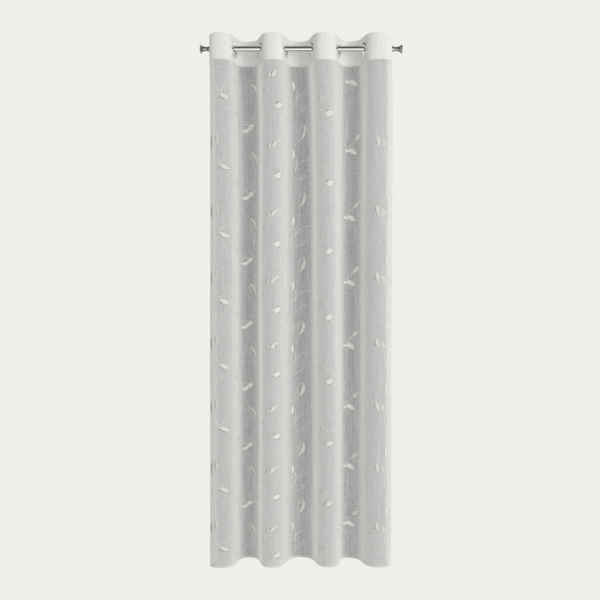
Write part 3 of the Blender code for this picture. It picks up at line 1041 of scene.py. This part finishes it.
def polished_metal(name, colour, smoothest, roughest):
    """Bright plating with the faint unevenness that polishing leaves."""
    material, tree = new_material(name)
    plating = tree.nodes["Principled BSDF"]
    set_sockets(plating, {"Base Color": (*colour, 1.0), "Metallic": 1.0})
    place = tree.nodes.new("ShaderNodeTexCoord")
    wipe = tree.nodes.new("ShaderNodeTexNoise")
    set_sockets(wipe, {"Scale": POLISH_SCALE, "Detail": 4.0})
    tree.links.new(place.outputs["Object"], wipe.inputs["Vector"])
    rough = map_range(tree, wipe.outputs["Fac"], (0.3, 0.7), smoothest, roughest)
    tree.links.new(rough, plating.inputs["Roughness"])
    raise_relief(tree, plating, wipe.outputs["Fac"], strength=0.05, distance=0.0005)
    return material


def turned(name, profile, steps, closed=False):
    """A turned mesh about local Z: (radius, height) points, outside on the right-hand way.

    A point on the axis is a pole. A closed profile joins its last point to its first.
    """
    angles = np.linspace(0.0, math.tau, steps, endpoint=False)
    points, rings = [], []
    for radius, height in profile:
        if radius <= 0.0:
            rings.append([len(points)] * steps)
            points.append((0.0, 0.0, height))
            continue
        rings.append(list(range(len(points), len(points) + steps)))
        points += [(radius * math.cos(a), radius * math.sin(a), height) for a in angles]
    pairs = list(zip(rings, rings[1:]))
    if closed:
        pairs.append((rings[-1], rings[0]))
    faces = []
    for upper, lower in pairs:
        for here in range(steps):
            after = (here + 1) % steps
            corners = (upper[here], lower[here], lower[after], upper[after])
            faces.append(tuple(dict.fromkeys(corners)))
    mesh = bpy.data.meshes.new(name)
    mesh.from_pydata(points, [], faces)
    mesh.shade_smooth()
    mesh.set_sharp_from_angle(angle=math.radians(40.0))
    return mesh


def arc(centre, radii, start, end, steps):
    """(radius, height) points on a quarter or other part of an ellipse, angles in degrees."""
    turns = np.radians(np.linspace(start, end, steps + 1))
    return [(centre[0] + radii[0] * math.cos(t), centre[1] + radii[1] * math.sin(t)) for t in turns]


def eyelet_profile():
    """From the middle of the hole over the front flange to its rim, and back to the core."""
    crest, lip = EYELET_HALF_DEPTH, EYELET_LIP
    inner = arc((EYELET_HOLE_RADIUS + lip, crest - lip), (lip, lip), 180.0, 90.0, 6)
    dome = [(0.0250, crest - 0.00005), (0.0290, crest - 0.00035)]
    rim_radii = (EYELET_RIM_WIDTH, EYELET_RIM_HEIGHT - EYELET_GRIP)
    rim_centre = (EYELET_RIM_RADIUS - EYELET_RIM_WIDTH, EYELET_GRIP)
    outer = arc(rim_centre, rim_radii, 75.0, 0.0, 5)
    return inner + dome + outer + [(EYELET_CORE_RADIUS, EYELET_GRIP)]


front_half = eyelet_profile()
back_half = [(radius, -height) for radius, height in reversed(front_half)]
eyelet_mesh = turned("eyelet_ring", (front_half + back_half)[::-1], EYELET_STEPS, closed=True)
eyelet_plating = polished_metal("eyelet_plating", EYELET_COLOUR, smoothest=0.07, roughest=0.13)
eyelet_mesh.materials.append(eyelet_plating)
for number, (place, turn) in enumerate(zip(eyelet_places, eyelet_turns), start=1):
    ring = bpy.data.objects.new(f"ring_{number}", eyelet_mesh)
    ring.location = place
    ring.rotation_euler = (math.pi / 2.0, 0.0, turn)
    scene.collection.objects.link(ring)
    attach(ring, "root")
    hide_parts(f"eyelet_{number}")

# ------------------------------------------------------------
# Rod: a polished steel tube, 25 mm across, running through all the eyelets. Its ends are
# slightly rounded where the finials push on.
# ------------------------------------------------------------
ROD_RADIUS = 0.0125
ROD_STEPS = 96
ROD_EDGE = 0.0006
ROD_COLOUR = (0.72, 0.72, 0.71)

rod_low, rod_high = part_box("rod")
rod_half = (rod_high.x - rod_low.x) / 2.0
end_round = arc((ROD_RADIUS - ROD_EDGE, rod_half - ROD_EDGE), (ROD_EDGE, ROD_EDGE), 90.0, 0.0, 4)
rod_profile = [(0.0, rod_half), *end_round]
rod_profile += [(radius, -height) for radius, height in reversed(rod_profile)]
rod_mesh = turned("tube", rod_profile, ROD_STEPS)
rod_plating = polished_metal("rod_plating", ROD_COLOUR, smoothest=0.05, roughest=0.10)
rod_mesh.materials.append(rod_plating)
tube = bpy.data.objects.new("tube", rod_mesh)
tube.rotation_euler = (0.0, math.pi / 2.0, 0.0)
scene.collection.objects.link(tube)
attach(tube, "root")
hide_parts("rod")

# ------------------------------------------------------------
# Finials: turned trumpets of darker plated metal, with a slim waist and a wide rim, pushed
# on both ends of the rod.
# ------------------------------------------------------------
FINIAL_STEPS = 64
FINIAL_SMOOTHING = 5
FINIAL_COLOUR = (0.40, 0.40, 0.40)

# The slightly domed end, from its middle to the rim, and the flare's outer line, from the
# rim to the collar: (radius, distance from the rod's end).
CAP = ((0.0, 0.0448), (0.0030, 0.0446), (0.0060, 0.0438), (0.0194, 0.0406), (0.0199, 0.0401))
FLARE = (
    (0.0201, 0.0393),
    (0.0194, 0.0380),
    (0.0155, 0.0335),
    (0.0122, 0.0275),
    (0.0099, 0.0200),
    (0.0091, 0.0130),
    (0.0095, 0.0070),
    (0.0110, 0.0030),
    (0.0112, 0.0002),
)


def smooth_line(points, steps):
    """A curve through the points, with this many steps in each span."""
    points = np.array(points)
    padded = np.vstack([2 * points[0] - points[1], points, 2 * points[-1] - points[-2]])
    line = []
    for before, start, end, after in zip(padded, padded[1:], padded[2:], padded[3:]):
        for t in np.arange(steps) / steps:
            middle = (end - before) / 2.0 * (t - 2 * t**2 + t**3)
            middle += (after - start) / 2.0 * (t**3 - t**2)
            line.append(start * (1 - 3 * t**2 + 2 * t**3) + end * (3 * t**2 - 2 * t**3) + middle)
    return [tuple(point) for point in (*line, points[-1])]


finial_profile = [*CAP, *smooth_line(FLARE, FINIAL_SMOOTHING), (0.0108, 0.0), (0.0, 0.0)]
finial_mesh = turned("trumpet", finial_profile, FINIAL_STEPS)
finial_plating = polished_metal("finial_plating", FINIAL_COLOUR, smoothest=0.05, roughest=0.10)
finial_mesh.materials.append(finial_plating)
for side, name in ((-1, "finial_left"), (1, "finial_right")):
    low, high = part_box(name)
    trumpet = bpy.data.objects.new(name.replace("finial", "trumpet"), finial_mesh)
    trumpet.location = (high.x if side < 0 else low.x, 0.0, 0.0)
    trumpet.rotation_euler = (0.0, side * math.pi / 2.0, 0.0)
    scene.collection.objects.link(trumpet)
    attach(trumpet, "root")
    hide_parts(name)
